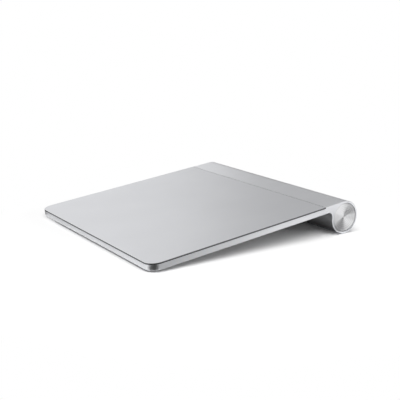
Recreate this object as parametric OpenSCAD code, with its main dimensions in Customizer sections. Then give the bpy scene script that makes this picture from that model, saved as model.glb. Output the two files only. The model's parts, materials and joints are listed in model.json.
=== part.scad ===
// Wireless desktop trackpad: a touch glass on an aluminium shell, with a tube for two AA cells at the back.
// Sizes are in millimetres. X runs to the user's right, Y to the back and Z up from the table.

/* [Outside] */
// Width, from one end of the cell tube to the other
pad_w = 131.3; // [129:0.1:138]
// Depth, from the front edge to the back of the cell tube
pad_d = 130; // [118:1:145]
// Height of the back above the table
back_h = 18.3; // [18.2:0.1:19.5]
// Height of the front edge above the table
front_h = 4.6; // [4.4:0.1:5.4]
// Plan radius of the two front corners
corner_r = 6.5; // [4.5:0.5:9]
// Outside diameter of the cell tube
tube_d = 18; // [17.8:0.1:18.2]

/* [Plate] */
// Thickness of the plate with its glass
plate_t = 3.8; // [3.8:0.1:4.2]
// Thickness of the touch glass
glass_t = 0.7; // [0.5:0.05:0.7]
// Thickness of the adhesive frame under the glass
glass_tape_t = 0.15; // [0.1:0.01:0.2]
// Set-back of the adhesive frame from the glass edge
glass_tape_in = 0.25; // [0.1:0.05:0.6]
// Bare aluminium strip, from the glass to the line where the plate meets the tube
strip_l = 12.8; // [12:0.1:15]
// Gap of the seam between the glass and the strip
seam_gap = 0.12; // [0.05:0.01:0.3]
// Radius of the hollow where the tube meets the underside
fillet_r = 2.5; // [1.5:0.1:3]
// Width of the aluminium rim outside the bottom cover
rim_w = 1.6; // [1:0.1:2]
// Width of the ledge that the bottom cover is bonded to
ledge_w = 1.6; // [1:0.1:2]
// Thickness of the bottom cover
cover_t = 0.8; // [0.6:0.05:0.8]
// Gap round the edge of the bottom cover
cover_gap = 0.1; // [0.05:0.01:0.2]

/* [Touch sensor] */
// Thickness of the touch sensor board
sensor_t = 0.6; // [0.4:0.05:0.6]
// Thickness of the steel stiffener sheet
stiffener_t = 0.3; // [0.2:0.05:0.3]
// Side gap round the sensor in the shell
sensor_gap = 0.4; // [0.2:0.1:0.6]
// Width of the ribbon from the sensor to the logic board
ribbon_w = 20; // [10:1:30]

/* [Logic board] */
// Length of the logic board along the width of the pad
board_l = 92; // [84:1:100]
// Width of the logic board
board_w = 20; // [18:0.5:22]
// Thickness of the logic board
board_t = 0.5; // [0.4:0.05:0.5]
// Height of the chips
chip_t = 0.55; // [0.4:0.05:0.6]

/* [Click feet] */
// Length of a front foot
foot_l = 16; // [12:0.5:20]
// Width of a front foot
foot_w = 6; // [5:0.5:7]
// Distance of a front foot's middle from the side of the pad
foot_side = 15.65; // [14.65:0.1:20]
// Distance of a front foot's middle from the front edge
foot_v = 8.4; // [8.2:0.1:11]
// Gap round a front foot in the bottom cover
foot_gap = 0.2; // [0.15:0.01:0.25]
// Click travel of a front foot
foot_travel = 0.35; // [0.2:0.05:0.35]

/* [Rear feet] */
// Length of a rear foot strip
rear_foot_l = 24; // [15:1:30]
// Width of a rear foot strip
rear_foot_w = 4; // [3:0.5:5]
// Distance of a rear foot's middle from the side of the pad
rear_foot_side = 21.65; // [17.65:0.1:31]

/* [Cells] */
// Diameter of an AA cell
cell_d = 14.2; // [13.8:0.1:14.4]
// Length of an AA cell with its terminal
cell_l = 50; // [49.2:0.1:50.5]
// Gap between a cell and the liner
cell_gap = 0.35; // [0.25:0.05:0.4]
// Wall of the tube liner
liner_t = 0.4; // [0.3:0.05:0.4]

/* [Battery cap] */
// Thickness of the cap's head
cap_head_t = 2.4; // [2:0.1:3]
// Length of the cap's threaded barrel
barrel_l = 7.5; // [6.5:0.1:8]
// Length of the coin slot
slot_l = 11; // [9:0.5:12]
// Width of the coin slot
slot_w = 1.9; // [1.5:0.1:2.5]
// Depth of the coin slot
slot_t = 1.4; // [1:0.1:1.6]
// Length of the contact spring with the cap closed
spring_l = 8.1; // [7:0.1:9]
// Wire of the contact spring
spring_wire = 0.7; // [0.5:0.05:0.8]
// Turns of the contact spring
spring_turns = 4; // [3:0.5:4]

/* [Power button] */
// Gap round the power button and the cap's head in the tube
button_gap = 0.2; // [0.15:0.01:0.3]
// Set-back of the button and the cap from the ends of the tube
end_recess = 0.25; // [0:0.05:0.6]
// Depth of the button's dished face
dish_t = 0.8; // [0.4:0.1:1.2]
// Travel of the power button
button_travel = 0.5; // [0.3:0.05:0.6]

/* [Hidden] */
$fn = 96;
// Running fit of a shaft in its hole, on the radius
run_fit = 0.05;
// Overlap of a cutting shape past the face that it cuts
cut = 1;

// Bite of one rounded face into the next, so that they cross on a clean line
join_bite = 0.02;

// The top plane runs into the tube's crown, so its tilt follows from the heights and the tube
tube_r = tube_d / 2;
crown_r = tube_r - join_bite;
tube_y = pad_d / 2 - tube_r;
tube_z = back_h - tube_r;
rise = tube_z - front_h;
reach = pad_d - tube_r;
tilt = atan2(rise, reach) + asin(crown_r / norm([rise, reach]));

// Plate frame: v runs back from the front top edge along the plate, w up from the plate's underside
axis_v = sqrt(rise * rise + reach * reach - crown_r * crown_r);
axis_w = plate_t - crown_r;
glass_l = axis_v - strip_l;
fillet_w = join_bite - fillet_r;
fillet_v = axis_v - sqrt(pow(crown_r + fillet_r, 2) - pow(axis_w - fillet_w, 2));
touch_share = 0.75;
touch_v = axis_v + (fillet_v - axis_v) * touch_share;
touch_w = axis_w + (fillet_w - axis_w) * touch_share;
// Block that the tube is cut from, whose circle starts inside the strip
crown_lead = 2;
crown_v = axis_v - crown_lead;
tube_back_v = axis_v + tube_r + cut;
tube_high_w = plate_t + cut;
tube_low_w = axis_w - tube_r - cut;
closing_turn = 160;

// Heights of the layers in the plate
film_t = 0.1;
glass_w = plate_t - glass_t;
ledge_top_w = glass_w - glass_tape_t;
sensor_w = glass_w - sensor_t;
stiffener_w = sensor_w - stiffener_t;
film_w = stiffener_w - film_t;
board_low_w = film_w - board_t;
floor_w = cover_t + film_t;

// Openings of the plate
pocket_in = rim_w + ledge_w;
rear_ledge = 2.5;
pocket_v = glass_l - rear_ledge;
cover_v = fillet_v - rim_w;
led_bay = 3;
sensor_v = pocket_v - led_bay;
foot_x = pad_w / 2 - foot_side;
rib_w = 1.6;
rib_room = 18;
rib_x = foot_x - foot_l / 2 - rib_room;
rib_gap = 4;
rib_v = pocket_v - board_w - rib_gap - rib_w;
rib_notch = 5.2;
rib_notch_t = 0.25;

// Logic board, its parts and its ribbons
board_gap = 0.5;
board_v1 = pocket_v - board_gap;
board_v0 = board_v1 - board_w;
board_side = 2.4;
board_x1 = pad_w / 2 - pocket_in - board_side;
board_x0 = board_x1 - board_l;
tape_back = 6;
tape_in = 0.6;
ribbon_x = 4;
ribbon_lap = 3;
ribbon_gap = 0.1;
ribbon_t = 0.12;
led_side = 12;
led_x = board_x1 - led_side;
led_l = 1.6;
led_w = 0.9;
led_t = 0.5;
// Places of the parts on the logic board, as shares of its length and width
antenna_at = [0.05, 0.5];
radio_at = [0.22, 0.5];
crystal_at = [0.33, 0.5];
touch_at = [0.52, 0.42];
plug_at = [0.78, 0.6];
row_at = [[0.35, 0.1], [0.62, 0.22]];
radio_size = 6;
touch_size = 8;
antenna_l = 6;
antenna_w = 2;
small_l = 1.2;
small_w = 0.7;
small_t = 0.4;
small_step = 3;
small_count = 7;
crystal_l = 3.2;
crystal_w = 2.5;
plug_l = 12;
plug_w = 2.2;

// Click feet and switches
flange_over = 1.1;
flange_t = 0.45;
nub_r = 1.1;
switch_hole_r = 1.4;
switch_size = 5;
switch_t = 0.4;
stop_gap = 0.03;
nub_w = film_w - foot_travel - stop_gap;
pad_size = 6.4;
flex_w = 4;
flex_lap = 3;

// Rear feet
rear_foot_x = pad_w / 2 - rear_foot_side;
rear_foot_t = 0.8;
rear_foot_gap = 0.05;

// Cell tube and the fittings at its ends
cell_r = cell_d / 2;
liner_r = cell_r + cell_gap;
bore_r = liner_r + liner_t + run_fit;
insert_r = bore_r - run_fit;
head_r = bore_r - button_gap;
button_t = 3;
dish_rim = 0.5;
dish_r = (pow(head_r - dish_rim, 2) + dish_t * dish_t) / (2 * dish_t);
boss_r = 3;
boss_l = 1.5;
stem_r = 1.95;
stem_sink = 1;
press_spare = 0.5;
stop_t = 1.25;
collar_r = 3.6;
collar_l = 1.6;
web_t = 1.2;
stem_flange_r = 3.2;
stem_flange_t = 0.8;
tip_r = 1.65;
tip_l = 2.4;
key_size = 6;
key_l = 2.5;
key_hole_r = 1.75;
key_hole_l = 1.7;
key_clear = 1.4;
disc_t = 1;
disc_gap = 0.6;
disc_r = bore_r - disc_gap;
bulkhead_t = 2.9;
contact_t = 0.5;
contact_r = 5;
rivet_r = 0.9;
housing_t = 0.95;
tube_flex_t = 0.15;
tube_flex_w = 4;
tube_flex_lap = 6;
tube_flex_slot = 0.25;
slot_low_w = board_low_w - tube_flex_t - tube_flex_slot;
tube_flex_end = 0.8;
tube_flex_v1 = axis_v - tube_flex_end;
tube_flex_tab = 3;
tube_flex_drop = 3.3;
nub_cell_r = 2.6;
nub_cell_l = 1.2;
crimp_l = 0.4;
crimp_in = 0.5;
barrel_fit = 0.12;
barrel_r = bore_r - barrel_fit;
groove_l = 1.2;
ring_wire_r = 0.45;
ring_gap = 0.1;
ring_r = bore_r - ring_gap - ring_wire_r;
groove_fit = 0.03;
groove_r = ring_r - ring_wire_r - groove_fit;
cup_r = 5.8;
cup_floor = 2.4;
seat_r = 5.6;
seat_t = 0.5;
liner_gap = 0.9;
liner_lap = 0.3;
spring_big_r = 4.7;
spring_small_r = 2.8;
spring_rings = 16;
spring_sides = 8;
spring_fit = 0.02;

// The fittings at both ends share the length that the two cells leave in the tube
press_l = button_travel + press_spare;
button_end_l = end_recess + button_t + boss_l + press_l + collar_l + web_t + stem_flange_t
    + key_clear + key_l + disc_t + bulkhead_t + contact_t;
cap_end_l = end_recess + cap_head_t + cup_floor + seat_t + spring_l;
end_fit = (pad_w - 2 * cell_l) / (button_end_l + cap_end_l);

// Places along the tube, from the button's face inwards
button_x1 = pad_w / 2 - end_fit * end_recess;
button_x0 = button_x1 - end_fit * button_t;
stem_x1 = button_x0 + end_fit * stem_sink;
stop_x = button_x0 - end_fit * press_l;
boss_x = button_x0 - end_fit * boss_l;
collar_x1 = boss_x - end_fit * press_l;
web_x1 = collar_x1 - end_fit * collar_l;
web_x0 = web_x1 - end_fit * web_t;
flange_x0 = web_x0 - end_fit * stem_flange_t;
tip_x0 = flange_x0 - end_fit * tip_l;
key_x1 = flange_x0 - end_fit * key_clear;
key_hole_x = key_x1 - end_fit * key_hole_l;
key_x0 = key_x1 - end_fit * key_l;
tube_flex_x1 = key_x0 + end_fit * tube_flex_w;
disc_x0 = key_x0 - end_fit * disc_t;
bulkhead_x0 = disc_x0 - end_fit * bulkhead_t;
contact_x0 = bulkhead_x0 - end_fit * contact_t;
cell_right_x = contact_x0 - cell_l;
cell_left_x = cell_right_x - cell_l;

// Places along the tube, from the cap's face inwards
cap_x0 = -pad_w / 2 + end_fit * end_recess;
slot_x1 = cap_x0 + end_fit * slot_t;
cap_x1 = cap_x0 + end_fit * cap_head_t;
groove_x1 = cap_x1 + groove_l;
barrel_x1 = cap_x1 + end_fit * barrel_l;
cup_x = cap_x1 + end_fit * cup_floor;
seat_x1 = cup_x + end_fit * seat_t;
liner_x0 = barrel_x1 + end_fit * liner_gap;
liner_x1 = contact_x0 + end_fit * liner_lap;

aluminium = [0.80, 0.81, 0.83];
silver_glass = [0.74, 0.75, 0.77];
black = [0.06, 0.06, 0.07];
white_plastic = [0.86, 0.87, 0.88];
grey_rubber = [0.52, 0.53, 0.55];
steel = [0.62, 0.63, 0.65];
board_green = [0.05, 0.22, 0.14];
film_amber = [0.70, 0.38, 0.08];
gold = [0.83, 0.66, 0.30];

// Places a shape that is drawn in the plate frame
module on_plate() {
    translate([0, -pad_d / 2, front_h]) rotate([tilt, 0, 0]) translate([0, 0, -plate_t]) children();
}

// A round bar along the tube's axis
module rod(x0, x1, r) {
    translate([x0, tube_y, tube_z]) rotate([0, 90, 0]) cylinder(h = x1 - x0, r = r);
}

// A box from its low and high corners
module block(low, high) {
    translate(low) cube(high - low);
}

// Plan of the plate, set in from its edge: round front corners, square back
module plan(inset, back) {
    translate([-pad_w / 2 + inset, corner_r]) square([pad_w - 2 * inset, back - corner_r]);
    translate([-pad_w / 2 + corner_r, inset]) square([pad_w - 2 * corner_r, corner_r]);
    for (side = [-1, 1])
        translate([side * (pad_w / 2 - corner_r), corner_r]) circle(corner_r - inset);
}

module slab(inset, back, low, high) {
    translate([0, 0, low]) linear_extrude(high - low) plan(inset, back);
}

// A rectangle with round ends
module pill(length, width) {
    square([length - width, width], center = true);
    for (side = [-1, 1])
        translate([side * (length - width) / 2, 0]) circle(d = width);
}

module foot_pill(side, over, low, high) {
    translate([side * foot_x, foot_v, low])
        linear_extrude(high - low) pill(foot_l + 2 * over, foot_w + 2 * over);
}

// Side view of the shell in the plate frame: frame under the glass, strip, tube and the hollow ahead of it
module shell_side() {
    difference() {
        polygon([
            [0, 0],
            [0, ledge_top_w],
            [glass_l, ledge_top_w],
            [glass_l, plate_t],
            [crown_v, plate_t],
            [crown_v, tube_high_w],
            [tube_back_v, tube_high_w],
            [tube_back_v, tube_low_w],
            [fillet_v, tube_low_w],
            [fillet_v, 0]
        ]);
        difference() {
            polygon([
                [crown_v, plate_t],
                [crown_v, tube_high_w + cut],
                [tube_back_v + cut, tube_high_w + cut],
                [tube_back_v + cut, tube_low_w - cut],
                [fillet_v - cut, tube_low_w - cut],
                [fillet_v - cut, fillet_w],
                [touch_v, touch_w],
                [axis_v, axis_w],
                [axis_v, plate_t]
            ]);
            translate([axis_v, axis_w]) rotate(closing_turn) circle(tube_r);
        }
        translate([fillet_v, fillet_w]) circle(fillet_r);
    }
}

// Ribs that carry the stiffener across the open plate, notched for the switch flex
module ribs(low, high) {
    difference() {
        union() {
            block([-pad_w / 2 + rim_w, rib_v, low], [pad_w / 2 - rim_w, rib_v + rib_w, high]);
            for (side = [-1, 1])
                translate([side * rib_x - rib_w / 2, rim_w, low])
                    cube([rib_w, rib_v + rib_w - rim_w, high - low]);
        }
        block([-rib_x - rib_notch, foot_v - rib_notch / 2, film_w - rib_notch_t],
            [rib_x + rib_notch, foot_v + rib_notch / 2, stiffener_w + cut]);
        block([-rib_notch / 2, rib_v - cut, film_w - rib_notch_t],
            [rib_notch / 2, rib_v + rib_w + cut, stiffener_w + cut]);
    }
}

module body_shell() {
    color(aluminium)
        difference() {
            on_plate()
                intersection() {
                    translate([-pad_w / 2, 0, 0])
                        rotate([90, 0, 90]) linear_extrude(pad_w) shell_side();
                    slab(0, tube_back_v + cut, tube_low_w - cut, tube_high_w + cut);
                }
            on_plate() {
                difference() {
                    slab(pocket_in, pocket_v, -cut, plate_t + cut);
                    ribs(floor_w, stiffener_w);
                }
                slab(rim_w, cover_v, -cut, floor_w);
                block([key_x0 - tube_flex_slot, pocket_v - cut, slot_low_w],
                    [tube_flex_x1 + tube_flex_slot, axis_v, board_low_w + tube_flex_slot]);
            }
            rod(-pad_w / 2 - cut, pad_w / 2 + cut, bore_r);
            for (side = [-1, 1])
                rear_foot_block(side, rear_foot_gap, -cut);
        }
}

module glass_plate() {
    color(silver_glass)
        on_plate() slab(0, glass_l - seam_gap, glass_w, plate_t);
}

module glass_tape() {
    color(black)
        on_plate()
            difference() {
                slab(glass_tape_in, glass_l - seam_gap - glass_tape_in, ledge_top_w, glass_w);
                slab(pocket_in, pocket_v, ledge_top_w - cut, glass_w + cut);
            }
}

module touch_sensor() {
    color(board_green)
        on_plate() slab(pocket_in + sensor_gap, sensor_v, sensor_w, glass_w);
}

module sensor_stiffener() {
    color(steel)
        on_plate()
            difference() {
                slab(pocket_in + sensor_gap, sensor_v, stiffener_w, sensor_w);
                block([ribbon_x - ribbon_w / 2 - sensor_gap, sensor_v - ribbon_lap - sensor_gap, 0],
                    [ribbon_x + ribbon_w / 2 + sensor_gap, sensor_v + cut, plate_t]);
            }
}

// Thin ribbon that leaves the sensor's underside, folds round the logic board and ends under it
module sensor_ribbon() {
    out_v = board_v1 + ribbon_gap + ribbon_t;
    in_v = out_v - ribbon_t;
    color(film_amber)
        on_plate()
            translate([ribbon_x - ribbon_w / 2, 0, 0])
                rotate([90, 0, 90])
                    linear_extrude(ribbon_w)
                        polygon([
                            [sensor_v - ribbon_lap, sensor_w],
                            [out_v, sensor_w],
                            [out_v, board_low_w - ribbon_t],
                            [board_v1 - ribbon_lap, board_low_w - ribbon_t],
                            [board_v1 - ribbon_lap, board_low_w],
                            [in_v, board_low_w],
                            [in_v, sensor_w - ribbon_t],
                            [sensor_v - ribbon_lap, sensor_w - ribbon_t]
                        ]);
}

module bottom_cover() {
    color(white_plastic)
        on_plate()
            difference() {
                slab(rim_w + cover_gap, cover_v - cover_gap, 0, cover_t);
                for (side = [-1, 1])
                    foot_pill(side, foot_gap, -cut, cover_t + cut);
            }
}

module cover_seal() {
    color(black)
        on_plate()
            difference() {
                slab(rim_w + cover_gap, cover_v - cover_gap, cover_t, floor_w);
                difference() {
                    slab(pocket_in, pocket_v, 0, floor_w + cut);
                    ribs(0, floor_w + cut);
                }
            }
}

module board_tape() {
    color(black)
        on_plate()
            difference() {
                block([board_x0 + tape_in, board_v0 + tape_in, film_w],
                    [board_x1 - tape_in, board_v1 - tape_back, stiffener_w]);
                block([-flex_w / 2 - tape_in, 0, 0],
                    [flex_w / 2 + tape_in, board_v0 + flex_lap + tape_in, plate_t]);
            }
}

module logic_board() {
    color(board_green)
        on_plate() block([board_x0, board_v0, board_low_w], [board_x1, board_v1, film_w]);
}

// A flat part under the logic board, with its middle at a place given in shares of the board
module under_board(place, size, height, shift = 0) {
    translate([
        board_x0 + board_l * place[0] + shift - size[0] / 2,
        board_v0 + board_w * place[1] - size[1] / 2,
        board_low_w - height
    ])
        cube([size[0], size[1], height]);
}

module radio_chip() {
    color(black)
        on_plate() under_board(radio_at, [radio_size, radio_size], chip_t);
}

module touch_controller() {
    color(black)
        on_plate() under_board(touch_at, [touch_size, touch_size], chip_t);
}

module chip_antenna() {
    color(white_plastic)
        on_plate() under_board(antenna_at, [antenna_l, antenna_w], chip_t);
}

module board_components() {
    color(gold)
        on_plate() {
            for (i = [0 : small_count - 1]) {
                under_board(row_at[0], [small_l, small_w], small_t, i * small_step);
                under_board(row_at[1], [small_w, small_l], small_t, i * small_step);
            }
            under_board(crystal_at, [crystal_l, crystal_w], chip_t);
            under_board(plug_at, [plug_l, plug_w], chip_t);
        }
}

module status_led() {
    color(white_plastic)
        on_plate()
            translate([led_x, sensor_v + sensor_gap, film_w]) cube([led_l, led_w, led_t]);
}

module switch_flex() {
    color(film_amber)
        on_plate() {
            block([-foot_x, foot_v - flex_w / 2, film_w], [foot_x, foot_v + flex_w / 2, stiffener_w]);
            block([-flex_w / 2, foot_v, film_w], [flex_w / 2, board_v0 + flex_lap, stiffener_w]);
            for (side = [-1, 1])
                translate([side * foot_x - pad_size / 2, foot_v - pad_size / 2, film_w])
                    cube([pad_size, pad_size, film_t]);
        }
}

module click_switch(side) {
    color(steel)
        on_plate()
            translate([side * foot_x, foot_v, film_w - switch_t])
                difference() {
                    translate([-switch_size / 2, -switch_size / 2, 0])
                        cube([switch_size, switch_size, switch_t]);
                    translate([0, 0, -cut]) cylinder(h = switch_t + 2 * cut, r = switch_hole_r);
                }
}

module click_switch_left() {
    click_switch(-1);
}

module click_switch_right() {
    click_switch(1);
}

module foot_carrier(side) {
    color(black)
        on_plate() {
            foot_pill(side, flange_over, cover_t, cover_t + flange_t);
            translate([side * foot_x, foot_v, cover_t])
                cylinder(h = nub_w - cover_t, r = nub_r);
        }
}

module foot_carrier_left() {
    foot_carrier(-1);
}

module foot_carrier_right() {
    foot_carrier(1);
}

// Rubber foot under the carrier, cut level with the table
module click_foot(side) {
    color(grey_rubber)
        intersection() {
            on_plate() foot_pill(side, 0, -back_h, cover_t);
            block([-pad_w, -pad_d, 0], [pad_w, pad_d, back_h]);
        }
}

module click_foot_left() {
    click_foot(-1);
}

module click_foot_right() {
    click_foot(1);
}

module rear_foot_block(side, gap, low) {
    translate([side * rear_foot_x - rear_foot_l / 2 - gap, tube_y - rear_foot_w / 2 - gap, low])
        cube([rear_foot_l + 2 * gap, rear_foot_w + 2 * gap, rear_foot_t - low]);
}

module rear_foot_left() {
    color(grey_rubber) rear_foot_block(-1, 0, 0);
}

module rear_foot_right() {
    color(grey_rubber) rear_foot_block(1, 0, 0);
}

module tube_liner() {
    color(black)
        difference() {
            rod(liner_x0, liner_x1, insert_r);
            rod(liner_x0 - cut, liner_x1 + cut, liner_r);
        }
}

// Plain AA cell from its flat end at x to its raised terminal on the right
module cell(x) {
    can_l = cell_l - nub_cell_l;
    rod(x, x + can_l, cell_r - crimp_in);
    rod(x + crimp_l, x + can_l - crimp_l, cell_r);
    rod(x + can_l - crimp_l, x + cell_l, nub_cell_r);
}

module battery_left() {
    color(steel) cell(cell_left_x);
}

module battery_right() {
    color(steel) cell(cell_right_x);
}

module positive_contact() {
    color(gold) {
        rod(contact_x0, bulkhead_x0, contact_r);
        rod(contact_x0, disc_x0, rivet_r);
    }
}

module contact_bulkhead() {
    color(black)
        difference() {
            rod(bulkhead_x0, disc_x0, insert_r);
            rod(bulkhead_x0 - cut, disc_x0 + cut, rivet_r + run_fit);
        }
}

module button_board() {
    color(board_green) rod(disc_x0, key_x0, disc_r);
}

module button_switch() {
    color(steel)
        difference() {
            translate([key_x0, tube_y - key_size / 2, tube_z - key_size / 2])
                cube([key_x1 - key_x0, key_size, key_size]);
            rod(key_hole_x, key_x1 + cut, key_hole_r);
        }
}

// Ring that holds the button board and guides the stem, open at the top for the tube flex
module button_housing() {
    color(black)
        difference() {
            rod(key_x0, stop_x, insert_r);
            rod(key_x0 - cut, web_x0, insert_r - housing_t);
            difference() {
                rod(web_x1, stop_x + cut, insert_r - stop_t);
                rod(web_x1, collar_x1, collar_r);
            }
            rod(key_x0 - cut, stop_x + cut, stem_r + run_fit);
            on_plate()
                block([key_x0 - cut, axis_v - tube_r, axis_w + tube_flex_drop],
                    [tube_flex_x1 + tube_flex_slot, axis_v + tube_flex_tab, plate_t]);
        }
}

module button_stem() {
    color(white_plastic) {
        rod(flange_x0, stem_x1, stem_r);
        rod(flange_x0, web_x0, stem_flange_r);
        rod(tip_x0, web_x0, tip_r);
    }
}

module power_button() {
    color(aluminium)
        difference() {
            union() {
                rod(button_x0, button_x1, head_r);
                rod(boss_x, button_x1 - dish_t, boss_r);
            }
            translate([button_x1 - dish_t + dish_r, tube_y, tube_z]) sphere(dish_r);
            rod(boss_x - cut, stem_x1, stem_r + run_fit);
        }
}

// Flex from the button board, through the slot in the shell, to the underside of the logic board
module tube_flex() {
    color(film_amber)
        on_plate() {
            block([key_x0, board_v1 - tube_flex_lap, board_low_w - tube_flex_t],
                [tube_flex_x1, tube_flex_v1, board_low_w]);
            block([key_x0, tube_flex_v1 - tube_flex_tab, board_low_w - tube_flex_drop],
                [key_x0 + tube_flex_t, tube_flex_v1, board_low_w]);
        }
}

// Cap with a coin slot, a barrel that screws into the tube and a cup for the contact spring
module battery_cap() {
    color(aluminium)
        difference() {
            union() {
                rod(cap_x0, cap_x1, head_r);
                rod(cap_x1, groove_x1, groove_r);
                rod(groove_x1, barrel_x1, barrel_r);
            }
            rod(cup_x, barrel_x1 + cut, cup_r);
            translate([cap_x0 - cut, tube_y - slot_w / 2, tube_z - slot_l / 2])
                cube([slot_x1 - cap_x0 + cut, slot_w, slot_l]);
        }
}

module cap_o_ring() {
    color(black)
        translate([(cap_x1 + groove_x1) / 2, tube_y, tube_z])
            rotate([0, 90, 0]) rotate_extrude() translate([ring_r, 0]) circle(ring_wire_r);
}

module cap_contact() {
    color(steel) rod(cup_x, seat_x1, seat_r);
}

// Conical contact spring as one tube that winds from the cap's contact to the left cell
spring_x0 = seat_x1 + spring_wire / 2 + spring_fit;
spring_x1 = cell_left_x - spring_wire / 2 - spring_fit;
spring_last = spring_rings * spring_turns;
function spring_radius(i) = spring_big_r + (spring_small_r - spring_big_r) * i / spring_last;
function spring_mid(i) = [
    spring_x0 + (spring_x1 - spring_x0) * i / spring_last,
    tube_y + spring_radius(i) * cos(360 * i / spring_rings),
    tube_z + spring_radius(i) * sin(360 * i / spring_rings)
];
function spring_skin(i, j) = spring_mid(i) + spring_wire / 2 * [
    sin(360 * j / spring_sides),
    cos(360 * j / spring_sides) * cos(360 * i / spring_rings),
    cos(360 * j / spring_sides) * sin(360 * i / spring_rings)
];
spring_self_gap = min([
    for (i = [0 : spring_last], k = [i + spring_rings / 2 : spring_last])
        norm(spring_mid(i) - spring_mid(k))
]) - spring_wire;
echo(spring_self_gap = spring_self_gap);

module cap_spring() {
    color(steel)
        polyhedron(
            points = [for (i = [0 : spring_last], j = [0 : spring_sides - 1]) spring_skin(i, j)],
            faces = concat(
                [[for (j = [0 : spring_sides - 1]) j]],
                [[for (j = [spring_sides - 1 : -1 : 0]) spring_last * spring_sides + j]],
                [for (i = [0 : spring_last - 1], j = [0 : spring_sides - 1]) [
                    i * spring_sides + j,
                    (i + 1) * spring_sides + j,
                    (i + 1) * spring_sides + (j + 1) % spring_sides,
                    i * spring_sides + (j + 1) % spring_sides
                ]]
            )
        );
}

body_shell();
glass_plate();
glass_tape();
touch_sensor();
sensor_stiffener();
sensor_ribbon();
bottom_cover();
cover_seal();
board_tape();
logic_board();
radio_chip();
touch_controller();
chip_antenna();
board_components();
status_led();
switch_flex();
click_switch_left();
click_switch_right();
foot_carrier_left();
foot_carrier_right();
click_foot_left();
click_foot_right();
rear_foot_left();
rear_foot_right();
tube_liner();
battery_left();
battery_right();
positive_contact();
contact_bulkhead();
button_board();
button_switch();
button_housing();
button_stem();
power_button();
tube_flex();
battery_cap();
cap_o_ring();
cap_contact();
cap_spring();
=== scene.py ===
"""Looks of a wireless desktop trackpad: touch glass on an aluminium shell, with a cell tube at the back."""

import json
import math

import bmesh
import bpy
from mathutils import Matrix, Vector

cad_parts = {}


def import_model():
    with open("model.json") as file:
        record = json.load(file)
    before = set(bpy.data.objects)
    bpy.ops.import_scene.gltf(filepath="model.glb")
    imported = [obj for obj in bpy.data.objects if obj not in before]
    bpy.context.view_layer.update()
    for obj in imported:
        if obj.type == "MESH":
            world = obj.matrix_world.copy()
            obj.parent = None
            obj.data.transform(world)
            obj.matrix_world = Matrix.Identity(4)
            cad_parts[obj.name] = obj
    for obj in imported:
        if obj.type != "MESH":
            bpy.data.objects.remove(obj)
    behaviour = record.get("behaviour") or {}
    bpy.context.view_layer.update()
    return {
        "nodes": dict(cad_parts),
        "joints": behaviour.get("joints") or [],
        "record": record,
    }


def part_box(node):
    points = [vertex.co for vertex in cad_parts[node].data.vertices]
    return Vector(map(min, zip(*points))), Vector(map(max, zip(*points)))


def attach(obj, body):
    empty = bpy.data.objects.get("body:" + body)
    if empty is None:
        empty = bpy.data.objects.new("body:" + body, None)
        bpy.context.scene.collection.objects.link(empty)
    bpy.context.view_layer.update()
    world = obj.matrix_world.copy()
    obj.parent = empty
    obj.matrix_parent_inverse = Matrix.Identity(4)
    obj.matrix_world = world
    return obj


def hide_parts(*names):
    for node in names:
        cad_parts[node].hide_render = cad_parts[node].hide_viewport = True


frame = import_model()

MM = 0.001


def span(node):
    """Lowest and highest corner of a CAD node, in millimetres."""
    low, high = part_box(node)
    return low / MM, high / MM


# Sizes in millimetres, read from the frame
SHELL_LOW, SHELL_HIGH = span("body_shell")
GLASS_LOW, GLASS_HIGH = span("glass_plate")
BUTTON_LOW, BUTTON_HIGH = span("power_button")
CAP_LOW, CAP_HIGH = span("battery_cap")
PAD_W = SHELL_HIGH.x - SHELL_LOW.x
TUBE_Y = (BUTTON_LOW.y + BUTTON_HIGH.y) / 2
TUBE_Z = (BUTTON_LOW.z + BUTTON_HIGH.z) / 2
HEAD_R = (BUTTON_HIGH.y - BUTTON_LOW.y) / 2
CLICK_AXIS = Vector(next(j["axis"] for j in frame["joints"] if j["name"] == "left_click"))
TILT = math.atan2(-CLICK_AXIS.y, CLICK_AXIS.z)

# Other sizes in millimetres: T is a thickness, L a length, W a width and R a radius
PLATE_T = 3.8
GLASS_T = 0.7
TAPE_T = 0.15
SEAM_GAP = 0.12
CORNER_R = 6.5
FILLET_R = 2.5
RIM_W = 1.6
LEDGE_W = 1.6
REAR_LEDGE_W = 2.5
RECESS_T = 0.9
COVER_T = 0.8
COVER_GAP = 0.1
BORE_R = 7.9
BARREL_GAP = 0.12
BARREL_R = BORE_R - BARREL_GAP
SLOT_L = 11
FOOT_L = 16
FOOT_W = 6
FOOT_GAP = 0.2
REAR_FOOT_GAP = 0.05

# Plate frame: v runs back from the front top edge, and h up from the plate's underside
GLASS_L = (GLASS_HIGH.y - GLASS_LOW.y - GLASS_T * math.sin(TILT)) / math.cos(TILT)
FRONT_Y = GLASS_LOW.y
FRONT_Z = GLASS_HIGH.z - GLASS_L * math.sin(TILT)
STRIP_V = GLASS_L + SEAM_GAP
LEDGE_TOP = PLATE_T - GLASS_T - TAPE_T

# Steps of the round stretches
CORNER_STEPS = 20
FOOT_STEPS = 8
TUBE_STEPS = 120
FILLET_STEPS = 16
LATHE_STEPS = 144
CELL_STEPS = 96
WALL_STEPS = 24

# The least angle of a hard crease
SHARP = math.radians(32)

# How close two points are that are one, and how close a point is that counts as on a face, in millimetres
MERGE = 0.0001
NEAR = 0.004

# How far a cutter runs past an edge, and above and below the plate, in millimetres
PAST = 1
REACH = 8

# The range that most of a noise texture lies in
NOISE_LOW = 0.3
NOISE_HIGH = 0.7

# What brings the tube's axis to the origin, in metres
TO_AXIS = (0, -TUBE_Y * MM, -TUBE_Z * MM)


def to_world(x, v, h):
    """A point of the plate frame in the row frame, in millimetres."""
    c, s = math.cos(TILT), math.sin(TILT)
    return Vector((x, FRONT_Y + v * c - (h - PLATE_T) * s, FRONT_Z + v * s + (h - PLATE_T) * c))


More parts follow.
